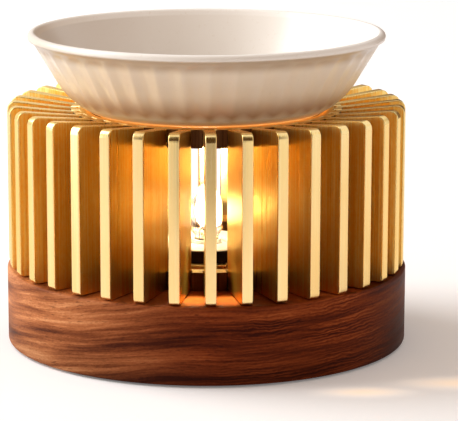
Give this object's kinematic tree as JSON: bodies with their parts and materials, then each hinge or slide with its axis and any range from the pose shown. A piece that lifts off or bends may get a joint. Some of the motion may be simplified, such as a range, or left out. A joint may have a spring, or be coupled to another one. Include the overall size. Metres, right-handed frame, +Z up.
{
  "type": "electric aroma lamp",
  "caption": "Electric aroma lamp: turned wooden base, cage of upright radial fins, small screw-in bulb inside and a loose fluted dish on top.",
  "frame": {"origin": "on the surface that the feet stand on, under the middle of the base", "axes": "+Z up along the lamp's middle axis; the front faces -Y and the cord inlet is at +Y"},
  "size_m": [0.13, 0.13, 0.1012],
  "materials": {
    "stained_wood": "oiled, satin",
    "satin_gold": "gold anodised, brushed along the fins",
    "zinc_steel": "zinc plated",
    "black_plate": "matt black",
    "grey_rubber": "matt",
    "brown_moulding": "moulded thermoset",
    "brass": "satin",
    "nickel": "nickel plated",
    "cap_glass": "black glass",
    "clear_glass": "clear",
    "filament": "glowing wire",
    "cream_glaze": "satin cream glaze"
  },
  "bodies": {
    "lamp": {"wood_base": "stained_wood", "cable_gland": "grey_rubber", "base_cover": "black_plate", "foot_1": "grey_rubber", "foot_2": "grey_rubber", "foot_3": "grey_rubber", "foot_4": "grey_rubber", "clamp_screw_1": "zinc_steel", "clamp_screw_2": "zinc_steel", "clamp_screw_3": "zinc_steel", "lower_ring": "satin_gold", "upper_ring": "satin_gold", "fin_01": "satin_gold", "fin_02": "satin_gold", "fin_03": "satin_gold", "fin_04": "satin_gold", "fin_05": "satin_gold", "fin_06": "satin_gold", "fin_07": "satin_gold", "fin_08": "satin_gold", "fin_09": "satin_gold", "fin_10": "satin_gold", "fin_11": "satin_gold", "fin_12": "satin_gold", "fin_13": "satin_gold", "fin_14": "satin_gold", "fin_15": "satin_gold", "fin_16": "satin_gold", "fin_17": "satin_gold", "fin_18": "satin_gold", "fin_19": "satin_gold", "fin_20": "satin_gold", "fin_21": "satin_gold", "fin_22": "satin_gold", "fin_23": "satin_gold", "fin_24": "satin_gold", "fin_25": "satin_gold", "fin_26": "satin_gold", "fin_27": "satin_gold", "fin_28": "satin_gold", "fin_29": "satin_gold", "fin_30": "satin_gold", "fin_31": "satin_gold", "fin_32": "satin_gold", "fin_33": "satin_gold", "fin_34": "satin_gold", "fin_35": "satin_gold", "fin_36": "satin_gold", "holder_body": "brown_moulding", "holder_sleeve": "nickel", "holder_nut_top": "brass", "holder_nut_bottom": "brass", "holder_contact": "brass"},
    "bulb_carrier": {"bulb_contact": "zinc_steel"},
    "bulb": {"bulb_cap": "nickel", "bulb_glass": "clear_glass", "bulb_insulator": "cap_glass", "bulb_stem": "clear_glass", "bulb_filament": "filament"},
    "dish": {"dish": "cream_glaze"}
  },
  "joints": [
    {"name": "bulb_rise", "type": "slide", "parent": "lamp", "child": "bulb_carrier", "axis": [0, 0, 1], "range_m": [0, 0.00907]},
    {"name": "bulb_turn", "type": "hinge", "parent": "bulb_carrier", "child": "bulb", "pos_m": [0, 0, 0.0328], "axis": [0, 0, 1], "range_deg": [0, 1800]},
    {"name": "dish_lift", "type": "slide", "parent": "lamp", "child": "dish", "axis": [0, 0, 1], "range_m": [0, 0.06]}
  ],
  "couplings": [
    {"joint": "bulb_rise", "follows": "bulb_turn", "m_per_rad": 0.00028871}
  ]
}
